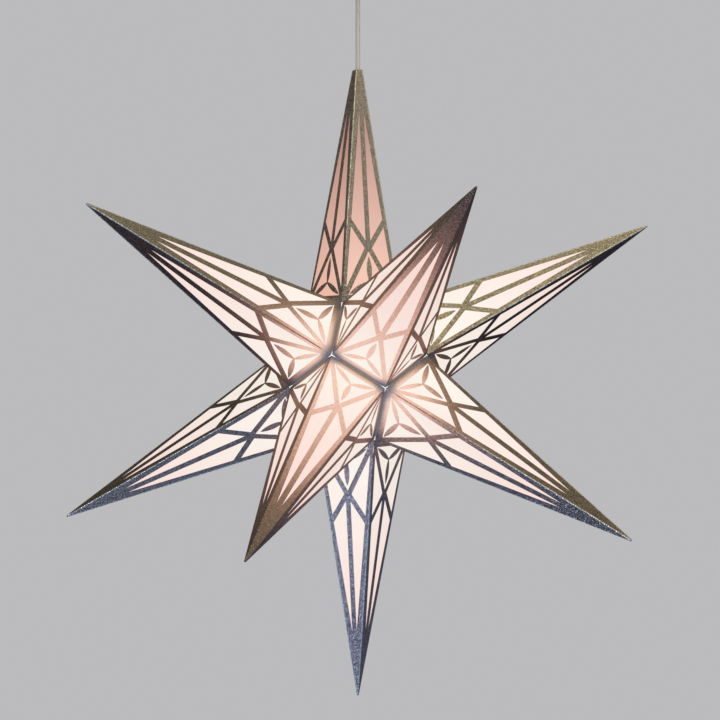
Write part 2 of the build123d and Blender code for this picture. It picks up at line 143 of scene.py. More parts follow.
# %% Finishes
class Finish:
    """A material with a Principled shader, built node by node."""

    def __init__(self, name, tree=None):
        if tree is None:
            self.material = bpy.data.materials.new(name)
            self.material.use_nodes = True
            tree = self.material.node_tree
        self.tree = tree
        self.shader = tree.nodes.get("Principled BSDF")

    def plug(self, node, inputs):
        """Sets a node's sockets to values, or links wires to them."""
        for key, value in inputs.items():
            if isinstance(value, Wire):
                self.tree.links.new(value.socket, node.inputs[key])
            else:
                node.inputs[key].default_value = value

    def node(self, kind, settings=None, inputs=None, output=0):
        """Adds a node: its settings first, then the values or wires of its sockets."""
        node = self.tree.nodes.new(kind)
        for key, value in (settings or {}).items():
            if key == "stops":
                ramp = node.color_ramp
                while len(ramp.elements) < len(value):
                    ramp.elements.new(1.0)
                for element, (place, colour) in zip(ramp.elements, value):
                    element.position = place
                    element.color = (*colour, 1)
            else:
                setattr(node, key, value)
        self.plug(node, inputs or {})
        return Wire(self, node.outputs[output])

    def surface(self, **inputs):
        """Sets the Principled shader's sockets: base_color stands for Base Color, and so on."""
        self.plug(self.shader, {key.replace("_", " ").title(): value for key, value in inputs.items()})
        return self.material

    def place(self):
        """Object coordinates, in metres, which are the frame's own."""
        return self.node("ShaderNodeTexCoord", output="Object")

    def vector(self, operation, *inputs, output="Vector"):
        """Vector maths on colours, places or directions."""
        return self.node("ShaderNodeVectorMath", {"operation": operation}, dict(enumerate(inputs)), output)

    def along(self, vector, axis):
        """One part of a vector: X, Y or Z."""
        return self.node("ShaderNodeSeparateXYZ", inputs={0: vector}, output=axis)

    def mix(self, factor, first, second, blend="MIX"):
        """A colour between two colours."""
        settings = {"data_type": "RGBA", "blend_type": blend}
        # A Mix node has sockets for each kind of data. These numbers are those of its colour sockets.
        return self.node("ShaderNodeMix", settings, {0: factor, 6: first, 7: second}, output=2)

    def ramp(self, factor, stops):
        """A colour read along a row of coloured stops."""
        return self.node("ShaderNodeValToRGB", {"stops": stops}, {0: factor})

    def bump(self, height, distance, strength):
        """A small relief from a height map, for the shader's Normal."""
        inputs = {"Height": height, "Distance": distance, "Strength": strength}
        return self.node("ShaderNodeBump", inputs=inputs)

    def noise(self, scale, detail=2, roughness=0.5):
        """Soft grain from 0 to 1, with about that many lumps to the metre."""
        inputs = {"Vector": self.place(), "Scale": scale, "Detail": detail, "Roughness": roughness}
        return self.node("ShaderNodeTexNoise", inputs=inputs)

    def streaks(self, squeeze, scale=900, detail=3):
        """Fine grain that is packed along Z, or drawn out along it where squeeze is below 1."""
        packed = self.node("ShaderNodeMapping", inputs={"Vector": self.place(), "Scale": (1, 1, squeeze)})
        return self.node("ShaderNodeTexNoise", inputs={"Vector": packed, "Scale": scale, "Detail": detail})

    def cells(self, scale):
        """A random colour for each of many small cells, like flakes or crystals."""
        inputs = {"Vector": self.place(), "Scale": scale}
        return self.node("ShaderNodeTexVoronoi", inputs=inputs, output="Color")

    def flakes(self, scale):
        """A random level for each cell."""
        return self.node("ShaderNodeSeparateColor", inputs={0: self.cells(scale)})


print("finishes ready")

# %% [markdown]
# ## The cord
#
# The cord is a smooth round flex that the star's weight pulls straight. It could be a cylinder, but a
# NURBS curve with a round bevel gives the same even tube and keeps the line that a cord is measured
# along. It ends in the grip of the ceiling rose, just above the view.

# %% Cord
millimetre = 0.001
cord_low, cord_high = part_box("hanging_cord")
cord_diameter = cord_high.x - cord_low.x
cord_length = cord_high.z - cord_low.z
cord_points = [Vector((0, 0, cord_low.z + cord_length * share)) for share in (0, 0.3, 0.7, 1)]


def flex_finish():
    """Satin off-white sheath with a faint lengthways grain."""
    finish = Finish("cord_sheath")
    grain = finish.streaks(0.04)
    colour = finish.mix(grain, (0.33, 0.31, 0.27, 1), (0.43, 0.40, 0.35, 1))
    relief = finish.bump(grain, 0.2 * millimetre, 0.3)
    return finish.surface(base_color=colour, roughness=0.42, normal=relief)


cord_sheath = flex_finish()
cord_curve = bpy.data.curves.new("cord", "CURVE")
cord_curve.dimensions = "3D"
cord_line = cord_curve.splines.new("NURBS")
cord_line.points.add(len(cord_points) - 1)
for point, place in zip(cord_line.points, cord_points):
    point.co = (*place, 1)
cord_line.order_u = 3
cord_line.use_endpoint_u = True
cord_curve.bevel_depth = cord_diameter / 2
cord_curve.bevel_resolution = 8
cord_curve.use_fill_caps = True
cord = bpy.data.objects.new("cord", cord_curve)
scene.collection.objects.link(cord)
cord_curve.materials.append(cord_sheath)
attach(cord, "lamp")
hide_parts("hanging_cord")
print(f"cord {cord_length * 1000:.1f} mm long and {cord_diameter * 1000:.1f} mm thick")

# %% [markdown]
# ## Sizes of a point
#
# A point is drawn as a maker draws it: one long facet on the flat sheet, five of them folded round an
# axis, and a glue flap on each base edge. The dodecahedron's edge and the reach of a point give most of
# the other sizes.

# %% Sizes of a point
sides = 5
half_side = math.pi / sides
face_edge = 59 * millimetre
glue_line = 0.1 * millimetre  # between the flaps of two points
tip_flat = 0.8 * millimetre  # from the axis to a side of the blunt tip
reach = star_centre.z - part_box("spike_bottom")[0].z
top_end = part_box("spike_top")[1].z - star_centre.z  # the top point is cut off there

face_inradius = face_edge / (2 * math.tan(half_side))
base_height = face_inradius * (1 + math.sqrt(5)) / 2
flap_lean = math.atan2(face_inradius, base_height)
fold_inradius = face_inradius - glue_line / (2 * math.cos(flap_lean))
facet_length = math.hypot(reach - base_height, fold_inradius - tip_flat)
half_base = fold_inradius * math.tan(half_side)
half_tip = tip_flat * math.tan(half_side)

# The front facet's own directions: along its base, up its slope and out of its face.
along_base = Vector((1, 0, 0))
up_slope = Vector((0, fold_inradius - tip_flat, reach - base_height)) / facet_length
out_of_face = along_base.cross(up_slope)
facet_place = Matrix((along_base, up_slope, out_of_face)).transposed().to_4x4()
facet_place.translation = (0, -fold_inradius, base_height)
print(f"facet {facet_length * 1000:.1f} mm long on a base of {half_base * 2000:.1f} mm")
print(f"point {reach * 1000:.0f} mm from the star's centre")

# %% [markdown]
# ## Selecting
#
# Operators work on whatever is selected, so each step first makes its piece active and then selects faces
# or edges. By hand they would be clicked on. In a script they are picked by where they are.


# %% Selecting
def activate(piece):
    """Makes a piece the only selected one."""
    bpy.ops.object.select_all(action="DESELECT")
    piece.select_set(True)
    bpy.context.view_layer.objects.active = piece


def new_piece(name):
    """Names the primitive that was just added, with its place in its mesh."""
    piece = bpy.context.active_object
    piece.name = name
    bpy.ops.object.transform_apply(location=True, rotation=True, scale=True)
    return piece


def edit_all(piece):
    """Enters edit mode with all of a piece selected."""
    activate(piece)
    bpy.ops.object.mode_set(mode="EDIT")
    bpy.ops.mesh.select_all(action="SELECT")


def edit_none(piece, kind):
    """Enters edit mode with nothing selected, ready for edges or faces."""
    activate(piece)
    bpy.ops.object.mode_set(mode="EDIT")
    bpy.ops.mesh.select_mode(type=kind)
    bpy.ops.mesh.select_all(action="DESELECT")


def leave_edit():
    bpy.ops.object.mode_set(mode="OBJECT")


def select_edges(piece, test):
    """Enters edit mode with the edges selected whose two ends pass a test."""
    edit_none(piece, "EDGE")
    leave_edit()
    places = [vertex.co for vertex in piece.data.vertices]
    for edge in piece.data.edges:
        edge.select = all(test(places[end]) for end in edge.vertices)
    bpy.ops.object.mode_set(mode="EDIT")


def select_faces(piece, test):
    """Enters edit mode with the faces selected whose middle passes a test."""
    edit_none(piece, "FACE")
    leave_edit()
    for face in piece.data.polygons:
        face.select = test(face.center)
    bpy.ops.object.mode_set(mode="EDIT")


print("selecting ready")

# %% [markdown]
# ## Cutting, welding and copying
#
# Paper is cut along straight lines, and Bisect does the same to a flat sheet: it cuts along a plane and
# may drop one side. The other helpers weld pieces that touch, copy a piece with a mesh of its own, and
# apply a modifier.

# %% Cutting, welding and copying
weld_distance = 0.01 * millimetre
cut_snap = 0.001 * millimetre  # a cut so near to a corner goes through it


def cut_line(piece, start, end, drop_left=False):
    """Cuts a flat sheet along the line through two points, and may drop what lies to the left of it."""
    edit_all(piece)
    run = Vector((*end, 0)) - Vector((*start, 0))
    left = Vector((-run.y, run.x, 0)).normalized()
    bpy.ops.mesh.bisect(plane_co=(*start, 0), plane_no=left, clear_outer=drop_left, threshold=cut_snap)
    leave_edit()


def cut_below(piece, height):
    """Drops what lies below a level line."""
    cut_line(piece, (1, height), (-1, height), drop_left=True)


def cut_above(piece, height):
    """Drops what lies above a level line."""
    cut_line(piece, (-1, height), (1, height), drop_left=True)


def merge(piece):
    """Welds corners that lie on each other and turns all faces outwards."""
    edit_all(piece)
    bpy.ops.mesh.remove_doubles(threshold=weld_distance)
    bpy.ops.mesh.select_all(action="SELECT")
    bpy.ops.mesh.normals_make_consistent(inside=False)
    leave_edit()


def own_copy(master):
    """A copy of a piece with a mesh of its own."""
    piece = master.copy()
    piece.data = master.data.copy()
    scene.collection.objects.link(piece)
    return piece


def apply_modifier(piece, kind, **settings):
    """Adds a modifier with its settings and applies it."""
    activate(piece)
    modifier = piece.modifiers.new(kind.lower(), kind)
    for key, value in settings.items():
        setattr(modifier, key, value)
    bpy.ops.object.modifier_apply(modifier=modifier.name)


print("cutting ready")

# %% [markdown]
# ## The flat sheet and its folding
#
# The facet starts as a plane, drawn in to its tip. Folding it means moving it into the front facet's
# place and spinning four copies round the axis. A cone with five sides would be quicker, but a flat sheet
# can be cut and measured like the real one. The folds are then rounded a little, because card never folds
# to a knife edge, and that thin round is what catches the light along each ridge.

# %% Sheet and fold
facet_map = "facet"  # name of the UV map that holds places on the flat sheet
fold_rounding = 0.4 * millimetre


def flat_facet(name):
    """One facet lying flat: its base on the X axis, its tip towards +Y."""
    bpy.ops.mesh.primitive_plane_add(size=1, calc_uvs=False)
    piece = new_piece(name)
    edit_all(piece)
    bpy.ops.transform.resize(value=(2 * half_base, facet_length, 1), center_override=(0, 0, 0))
    bpy.ops.transform.translate(value=(0, facet_length / 2, 0))
    leave_edit()
    select_edges(piece, lambda place: place.y > facet_length / 2)
    bpy.ops.transform.resize(value=(half_tip / half_base, 1, 1), center_override=(0, facet_length, 0))
    leave_edit()
    return piece


def map_facet(piece):
    """UV map in shares of the facet's length, measured on the flat sheet."""
    sheet = piece.data.uv_layers.new(name=facet_map)
    for loop in piece.data.loops:
        place = piece.data.vertices[loop.vertex_index].co
        sheet.data[loop.index].uv = (place.x / facet_length + 0.5, place.y / facet_length)


def fold(piece, end):
    """Folds five copies of a facet into a point, cut off at a height, with rounded ridges."""
    map_facet(piece)
    if end < reach:
        cut_above(piece, (end - base_height) / up_slope.z)
    piece.data.transform(facet_place)
    edit_all(piece)
    bpy.ops.mesh.spin(
        steps=sides - 1,
        dupli=True,
        angle=(sides - 1) * 2 * half_side,
        center=(0, 0, 0),
        axis=(0, 0, 1),
    )
    leave_edit()
    merge(piece)
    edit_none(piece, "EDGE")
    bpy.ops.mesh.edges_select_sharp(sharpness=half_side)
    bpy.ops.mesh.bevel(offset=fold_rounding, segments=2, affect="EDGES")
    leave_edit()
    if end == reach:
        select_edges(piece, lambda place: place.z > reach - 0.1 * millimetre)
        bpy.ops.mesh.edge_face_add()
        leave_edit()


print("sheet and fold ready")

# %% [markdown]
# ## The windows of the silver print
#
# The print covers each facet but for five windows: two long ones that run to the tip, one at each side
# and one above the base with a three-leaf ornament. The windows could be a mask in the material, but cut
# out of the sheet their edges stay sharp at any distance, and the print becomes a thin film of its own on
# the card. All windows are triangles, so three lines cut each of them out.

# %% Windows
window_tip = (2.4 * millimetre, 194 * millimetre)
window_foot = (24.5 * millimetre, 15.4 * millimetre)
long_window_low = 62.4 * millimetre
long_window_corner = 84.2 * millimetre
side_window_top = 76.3 * millimetre
side_window_inner = (3.7 * millimetre, 55.1 * millimetre)
base_window_top = 51.8 * millimetre
base_window_corner = (22.9 * millimetre, 8.0 * millimetre)


def on_window_edge(height):
    """Point of the windows' outer edge, which runs beside the ridge."""
    share = (height - window_foot[1]) / (window_tip[1] - window_foot[1])
    return (window_foot[0] + share * (window_tip[0] - window_foot[0]), height)


def mirrored(corners):
    return [(-u, v) for u, v in corners]


def edges_of(window):
    return list(zip(window, window[1:] + window[:1]))


def inside(place, window):
    """Whether a point of the flat sheet lies in a window: on one side of all its edges."""
    turns = [
        (b[0] - a[0]) * (place.y - a[1]) - (b[1] - a[1]) * (place.x - a[0])
        for a, b in edges_of(window)
    ]
    return all(turn > 0 for turn in turns) or all(turn < 0 for turn in turns)


long_window = [window_tip, on_window_edge(long_window_corner), (window_tip[0], long_window_low)]
side_window = [on_window_edge(side_window_top), side_window_inner, window_foot]
base_window = [(0, base_window_top), base_window_corner, (-base_window_corner[0], base_window_corner[1])]
windows = [long_window, mirrored(long_window), side_window, mirrored(side_window), base_window]
print(f"{len(windows)} windows on a facet")

# %% [markdown]
# ## A leaf of the ornament
#
# A leaf is the overlap of two circles: a cap is cut off a disc and turned over to make the other half.
# Three of them meet at one centre, so the end of each leaf is cut to the third of the circle that belongs
# to it.

# %% Leaf
leaf_length = 27.0 * millimetre
leaf_width = 5.2 * millimetre
leaf_overlap = 1.7 * millimetre  # of the leaves at their centre
leaf_sides = 160  # corners of the whole disc that a leaf is cut from
leaf_share = math.radians(60)  # from a leaf's middle line to the edge of its third


def flat_leaf():
    """One leaf along +X from the origin."""
    disc_radius = (leaf_length**2 + leaf_width**2) / (4 * leaf_width)
    bpy.ops.mesh.primitive_circle_add(
        vertices=leaf_sides,
        radius=disc_radius,
        fill_type="NGON",
        calc_uvs=False,
        location=(0, leaf_width / 2 - disc_radius, 0),
    )
    leaf = new_piece("leaf")
    cut_below(leaf, 0)
    edit_all(leaf)
    bpy.ops.mesh.duplicate()
    bpy.ops.transform.rotate(value=math.pi, orient_axis="Z", center_override=(0, 0, 0))
    leave_edit()
    merge(leaf)
    leaf.data.transform(Matrix.Translation((leaf_length / 2 - leaf_overlap, 0, 0)))
    third = (math.cos(leaf_share), math.sin(leaf_share))
    cut_line(leaf, (0, 0), third, drop_left=True)
    cut_line(leaf, (third[0], -third[1]), (0, 0), drop_left=True)
    return leaf


print(f"leaf {leaf_length * 1000:.0f} by {leaf_width * 1000:.1f} mm")

# %% [markdown]
# ## The print folded round a point
#
# The sheet with its windows and leaves is folded just as the card is, and Solidify then makes it a thin
# film. Part of the film lies inside the card, so that no gap shows between the two.

# %% Print
print_base_gap = 0.6 * millimetre  # bare card beside the seam
print_thickness = 0.08 * millimetre
print_sunk = 0.2  # share of the print inside the card
leaf_centre = 21.5 * millimetre
leaf_turns = [math.radians(turn) for turn in (90, 210, 330)]


def flat_print():
    """The whole print of one facet, lying flat."""
    sheet = flat_facet("print")
    cut_below(sheet, print_base_gap)
    for window in windows:
        for start, end in edges_of(window):
            cut_line(sheet, start, end)
    select_faces(sheet, lambda place: any(inside(place, window) for window in windows))
    bpy.ops.mesh.delete(type="FACE")
    leave_edit()
    first_leaf = flat_leaf()
    leaves = [first_leaf, own_copy(first_leaf), own_copy(first_leaf)]
    for leaf, turn in zip(leaves, leaf_turns):
        leaf.data.transform(Matrix.Translation((0, leaf_centre, 0)) @ Matrix.Rotation(turn, 4, "Z"))
    activate(sheet)
    for leaf in leaves:
        leaf.select_set(True)
    bpy.ops.object.join()
    return sheet


def folded_print(name, end):
    """The print folded round a point: a film that stands a hair proud of the card."""
    film = flat_print()
    film.name = name
    fold(film, end)
    apply_modifier(
        film,
        "SOLIDIFY",
        thickness=print_thickness,
        offset=1 - 2 * print_sunk,
        use_even_offset=True,
    )
    return film


closed_print = folded_print("closed_print", reach)
top_print = folded_print("top_print", top_end)
print(f"print of a closed point: {len(closed_print.data.polygons)} faces")

# %% [markdown]
# ## The card points
#
# Each point is a shell of card with a glue flap on its base edges. The flaps are extruded from the base
# and drawn in towards the star's centre, where they lie against the next point's flaps. The point that
# opens for the bulb has no flap on its upper edge, which is its hinge. Solidify gives the card its
# thickness inwards, and puts the inside on a second finish.

# %% Card points
card_thickness = 0.6 * millimetre
flap_width = 10 * millimetre
flap_notch = 3.1 * millimetre  # end of a flap to the corner of the base
slack = 0.1 * millimetre  # for picking edges by their place


def folded_card(name, end, hinged=False):
    """One point of folded card with its flaps."""
    card = flat_facet(name)
    flap_half = half_base - flap_notch
    for side in (-flap_half, flap_half):
        cut_line(card, (side, 0), (side, facet_length))
    fold(card, end)

    def on_flap_fold(place):
        low = abs(place.z - base_height) < weld_distance
        clear = math.hypot(place.x, place.y) < math.hypot(fold_inradius, flap_half) + slack
        hinge = hinged and place.y < -fold_inradius + slack
        return low and clear and not hinge

    select_edges(card, on_flap_fold)
    flap_drop = flap_width * math.cos(flap_lean)
    bpy.ops.mesh.extrude_region_move(TRANSFORM_OT_translate={"value": (0, 0, -flap_drop)})
    drawn_in = 1 - flap_width * math.sin(flap_lean) / fold_inradius
    bpy.ops.transform.resize(value=(drawn_in, drawn_in, 1), center_override=(0, 0, 0))
    leave_edit()
    apply_modifier(
        card,
        "SOLIDIFY",
        thickness=card_thickness,
        offset=-1,
        use_even_offset=True,
        material_offset=1,
        material_offset_rim=1,
    )
    return card


closed_card = folded_card("closed_card", reach)
top_card = folded_card("top_card", top_end)
hinged_card = folded_card("hinged_card", reach, hinged=True)
print(f"card of a closed point: {len(closed_card.data.polygons)} faces")

# %% [markdown]
# ## Masks of the star
#
# The card and the film change with their place on the star: with the distance from the bulb, on the side
# in front of the bulb, beside a fold, a seam or a corner. Such masks could be painted by hand. Here they
# are measured from the place, the direction of the face and the facet's own UV map, so they fit every
# point alike.


# %% Masks of the star
class StarFinish(Finish):
    """A finish with masks for the star's bulb, its front side, and its folds and corners."""

    def from_star_centre(self):
        """Distance from the star's centre, where the bulb is."""
        return self.vector("DISTANCE", self.place(), tuple(star_centre), output="Value")

    def facing(self, axis):
        """How far a face is turned along an axis, from -1 to 1."""
        return self.along(self.node("ShaderNodeTexCoord", output="Normal"), axis)

    def before_bulb(self):
        """1 straight in front of the bulb, and 0 beside and behind it."""
        forward = self.along(self.place(), "Y") * -1
        return forward.maths("DIVIDE", self.from_star_centre()).step(0.55, 0.9)

    def painted_front_glow(self):
        """Mask of the glow painted stronger on the star's front side: 1 where a face in front of the bulb is
        turned to the front, and 0 beside and behind the bulb.
        """
        turned = self.facing("Y") * -1
        return self.before_bulb() * turned.step(0.0, 0.7)

    def on_facet(self, axis):
        """Place on a facet in metres, from its own UV map: X is along the base, Y is up the slope."""
        return self.along(self.node("ShaderNodeUVMap", {"uv_map": facet_map}), axis) * facet_length

    def up_the_facet(self):
        """Distance from a facet's base edge towards its tip."""
        return self.on_facet("Y")

    def from_ridge(self):
        """Distance from the fold beside a facet."""
        from_middle = (self.on_facet("X") - facet_length / 2).maths("ABSOLUTE")
        half_width = half_base - self.up_the_facet() * ((half_base - half_tip) / facet_length)
        return half_width - from_middle

    def from_corner(self):
        """Distance from the nearer base corner of a facet, where three points meet."""
        up = self.up_the_facet()
        across = self.from_ridge()
        return (up * up + across * across).maths("SQRT")

    def tilted(self, scale, amount):
        """A normal that leans a little another way on each flake, so that flakes flash one by one."""
        lean = self.vector("SUBTRACT", self.cells(scale), (0.5, 0.5, 0.5))
        surface = self.node("ShaderNodeNewGeometry", output="Normal")
        return self.vector("NORMALIZE", self.vector("MULTIPLY_ADD", lean, (amount,) * 3, surface))


print("masks of the star ready")

# %% [markdown]
# ## Glowing card
#
# White card over a lamp looks cream near the bulb and turns pink further out, as the card takes the blue
# out of the light. Light could be sent through the card, but that is slow and grainy. So the glow is
# painted on as emission that changes with the distance from the bulb, painted a little pinker on the
# star's front points, and the card's own colour is kept low so that the studio light doesn't wash it out.
# Where a glue flap doubles the card beside a seam, its shadow is painted and the glow goes out, and at the
# corners a painted glint stands for light that leaks between the points. The top point sits in the lamp
# holder's shadow and is painted dimmer.

# %% Card finishes
glow_start = 70 * millimetre  # from the star's centre
glow_end = 240 * millimetre
leaked_light = (1.0, 0.90, 0.86, 1)
unlit = (0, 0, 0, 1)


def card_finish(name, own, near, far, front, seam_glow):
    """Matt card of its own grey with a painted glow: near the bulb, far from it, and far from it at the front.
    seam_glow is the share of the painted glow that is left in the flap's painted shadow beside a seam."""
    finish = StarFinish(name)
    spread = finish.from_star_centre().share(glow_start, glow_end)
    fibres = finish.noise(700, 4, 0.6)
    clouds = finish.noise(45, 3)
    even = finish.ramp(spread, [(0.0, near), (1.0, far)])
    # the glow is painted pinker on the star's front side
    glow = finish.mix(finish.painted_front_glow() * spread, even, (*front, 1))
    # painted shadow of the glue flap: the glow is dimmed near the base edge
    clear_of_flap_shadow = finish.up_the_facet().step(1 * millimetre, 9 * millimetre)
    uneven = clouds * 0.10 + fibres * 0.05 + 0.925
    level = (clear_of_flap_shadow * (1 - seam_glow) + seam_glow) * uneven
    # a painted glint at the corners, for light that leaks between the points
    leak = 1 - finish.from_corner().step(1.5 * millimetre, 5 * millimetre)
    lit = finish.mix(leak, finish.mix(level, unlit, glow), leaked_light)
    dark_fibre = (own * 0.90, own * 0.88, own * 0.86, 1)
    pale_fibre = (own * 1.10, own * 1.08, own * 1.06, 1)
    return finish.surface(
        base_color=finish.mix(fibres, dark_fibre, pale_fibre),
        roughness=0.7,
        emission_color=lit,
        emission_strength=1.0,
        normal=finish.bump(fibres, 0.06 * millimetre, 0.5),
    )


lit_card = card_finish(
    "card",
    own=0.18,
    near=(0.79, 0.75, 0.67),
    far=(0.76, 0.56, 0.51),
    front=(0.78, 0.54, 0.48),
    seam_glow=0.10,
)
shaded_card = card_finish(
    "card_shaded",
    own=0.18,
    near=(0.78, 0.42, 0.31),
    far=(0.27, 0.07, 0.03),
    front=(0.27, 0.07, 0.03),
    seam_glow=0.30,
)
inner_card = card_finish(
    "card_inside",
    own=0.40,
    near=(0.82, 0.76, 0.66),
    far=(0.70, 0.55, 0.46),
    front=(0.70, 0.55, 0.46),
    seam_glow=1.00,
)
print("three card finishes ready")

# %% [markdown]
# ## Tones of the silver
#
# The silver's tone is a painted reflection that goes with the tilt of a face: golden where it is turned up,
# steel blue where it is turned a little down, and dark where it is steep. One metal colour would leave
# this to the lamps, which can't do it for every point at once, so the tones are rows of stops that ramps
# read.

# %% Tones of the silver
# painted reflection: colours by the tilt of a face
tilt_tones = [  # 0 is a face turned straight down, and 1 a face turned straight up
    (0.18, (0.040, 0.030, 0.032)),
    (0.33, (0.10, 0.105, 0.135)),
    (0.43, (0.115, 0.12, 0.16)),
    (0.57, (0.15, 0.13, 0.095)),
    (0.67, (0.165, 0.14, 0.085)),
    (0.82, (0.095, 0.075, 0.046)),
]
through_tones = [  # by the level of the light that comes through the film
    (0.0, (0.006, 0.006, 0.008)),
    (0.3, (0.15, 0.074, 0.053)),
    (0.72, (0.58, 0.325, 0.25)),
    (1.0, (0.81, 0.535, 0.435)),
]
# What a flake's random level does to the tone, on faces turned up and on all others.
calm_flakes = [(0.0, (0.4, 0.4, 0.4)), (0.75, (0.95, 0.95, 0.95)), (1.0, (2.5, 2.5, 2.5))]
lively_flakes = [(0.0, (0.25, 0.25, 0.28)), (0.72, (0.9, 0.88, 0.88)), (1.0, (3.1, 3.0, 3.0))]
# Pairs of colours, on faces turned down and on faces turned up: the painted highlight of the folds, the
# film where the glow is painted at the front, and the painted shade beside the seams.
fold_highlights = ((0.30, 0.47, 0.64, 1), (0.52, 0.46, 0.315, 1))
front_glow_film = ((0.12, 0.095, 0.098, 1), (0.15, 0.115, 0.075, 1))
dim_seam = ((0.12, 0.12, 0.15, 1), (0.16, 0.125, 0.10, 1))
# A pair of colours for the painted shade at the corners: away from the star's front, and at its front.
corner_shade_tint = ((0.03, 0.027, 0.035, 1), (0.09, 0.115, 0.155, 1))
print(f"{len(tilt_tones)} tones by tilt, {len(through_tones)} by the light that comes through")

# %% [markdown]
# ## Glittering silver
#
# Fine flakes sparkle one by one. Cells of a Voronoi pattern give each flake its own level, gloss and
# tilt, and they are livelier on upright faces and on faces turned down. A highlight is painted along the
# folds, though hardly on the points in front of the bulb. Close to the bulb some light comes through the
# film and goes on in its own direction: so a glow is painted on the film, skin-coloured and stronger on the
# star's front side, on faces turned that way, and the film stays dark elsewhere. Painted shade of the flaps
# dims the glow beside the seams, and the corners get painted shade, bluish at the front.

# %% Silver finishes
flake_scale = 2000  # flakes to the metre
speck_scale = 3000  # specks of other gloss to the metre
flake_lean = 0.45


def silver_finish(name, through_level):
    """Metal film with a painted reflection by tilt, a painted highlight on the folds and a painted glow:
    through_level is how much of the bulb's light comes through near the bulb.
    """
    finish = StarFinish(name)
    flakes = finish.flakes(flake_scale)
    turned_up = finish.facing("Z")
    up = turned_up.step(-0.25, 0.2)
    distance = finish.from_star_centre()
    front = finish.painted_front_glow()

    # The film's colour: a painted reflection by tilt, a painted highlight on the folds, and the film where
    # the glow is painted at the front.
    tilt_reflection = finish.ramp(turned_up * 0.5 + 0.5, tilt_tones)
    # a highlight painted along the folds, bluish on faces turned down and golden on faces turned up, weaker in
    # front of the bulb
    fold_line = 1 - finish.from_ridge().step(0.2 * millimetre, 1.2 * millimetre)
    fold_sheen = distance.step(110 * millimetre, 160 * millimetre) * (0.6 - finish.before_bulb() * 0.45)
    with_fold_sheen = finish.mix(fold_line * fold_sheen, tilt_reflection, finish.mix(up, *fold_highlights))
    # the film's colour where the glow is painted on the star's front side
    film = finish.mix(front * 0.8, with_fold_sheen, finish.mix(up, *front_glow_film))
    calm = finish.ramp(flakes, calm_flakes)
    lively = finish.ramp(flakes, lively_flakes)
    sparkle = finish.mix(turned_up.step(0.1, 0.4), lively, calm)
    colour = finish.mix(1.0, film, sparkle, "MULTIPLY")
    gloss = finish.flakes(speck_scale) * 0.20 + 0.26

    # The light that comes through it, painted as emission and painted stronger on the star's front side.
    around = 1 - distance.step(70 * millimetre, 140 * millimetre)
    ahead = (1 - distance.step(90 * millimetre, 340 * millimetre)) * front
    grain = flakes * 0.3 + 0.85
    # the glow is painted dimmer along the folds
    through = (around * 0.2 + ahead * 0.95) * (1 - fold_line * 0.7) * grain * through_level
    # painted shade of the glue flaps beside the seams
    clear = finish.up_the_facet().step(0.5 * millimetre, 7 * millimetre)
    open_glow = finish.mix(clear, finish.mix(up, *dim_seam), finish.ramp(through, through_tones))
    # painted shade at the corners where three points meet, bluish at the front
    corner = 1 - finish.from_corner().step(3 * millimetre, 15 * millimetre)
    glow = finish.mix(corner * 0.85, open_glow, finish.mix(front, *corner_shade_tint))
    return finish.surface(
        base_color=colour,
        metallic=0.85,
        specular_tint=(0.08, 0.07, 0.08, 1),
        roughness=gloss,
        emission_color=glow,
        emission_strength=1.0,
        normal=finish.tilted(flake_scale, flake_lean),
    )


silver = silver_finish("silver_print", 1.0)
shaded_silver = silver_finish("silver_print_shaded", 0.15)
print("two silver finishes ready")

# %% [markdown]
# ## Where the twelve points stand
#
# Two points stand straight up and down and the others on two rings of five, at the angle whose tangent is
# one half. A place is a matrix that turns a point's own axis and its front facet. Every point takes the
# name of the frame's node that it stands for.

# %% Places of the points
ring_elevation = math.atan(0.5)
upper, lower = 1, -1


def point_place(axis, facet):
    """Matrix that turns a point's own +Z to an axis and its front facet to a direction."""
    turn = Matrix(((-facet).cross(axis), -facet, axis)).transposed().to_4x4()
    return Matrix.Translation(star_centre) @ turn


def ring_place(side, azimuth):
    """Place of a point on the upper or the lower ring."""
    turn, lift = math.radians(azimuth), side * ring_elevation
    axis = Vector((math.cos(lift) * math.cos(turn), math.cos(lift) * math.sin(turn), math.sin(lift)))
    rise = Vector((-math.sin(lift) * math.cos(turn), -math.sin(lift) * math.sin(turn), math.cos(lift)))
    return point_place(axis, rise * side)


places = {
    "spike_top": point_place(Vector((0, 0, 1)), Vector((1, 0, 0))),
    "spike_bottom": point_place(Vector((0, 0, -1)), Vector((-1, 0, 0))),
    "spike_upper_right": ring_place(upper, 0),
    "service_spike": ring_place(upper, 72),
    "spike_upper_back_left": ring_place(upper, 144),
    "spike_upper_left": ring_place(upper, 216),
    "spike_upper_front": ring_place(upper, 288),
    "spike_lower_back_right": ring_place(lower, 36),
    "spike_lower_back": ring_place(lower, 108),
    "spike_lower_left": ring_place(lower, 180),
    "spike_lower_front": ring_place(lower, 252),
    "spike_lower_right": ring_place(lower, 324),
}
print(f"{len(places)} places for points")

# %% [markdown]
# ## Copies in their places
#
# The points are alike, so each kind was modelled once. The masters are copied with a mesh of their own,
# which is turned into its place, so that every object stays at the origin and its patterns stay where
# they belong.

# %% Points in place
card_masters = {"spike_top": top_card, "service_spike": hinged_card}
print_masters = {"spike_top": top_print}


def placed_copy(master, name, place, finishes):
    """A copy with its own mesh, turned into its place, with its finishes."""
    piece = own_copy(master)
    piece.name = piece.data.name = name
    piece.data.transform(place)
    for finish in finishes:
        piece.data.materials.append(finish)
    return piece


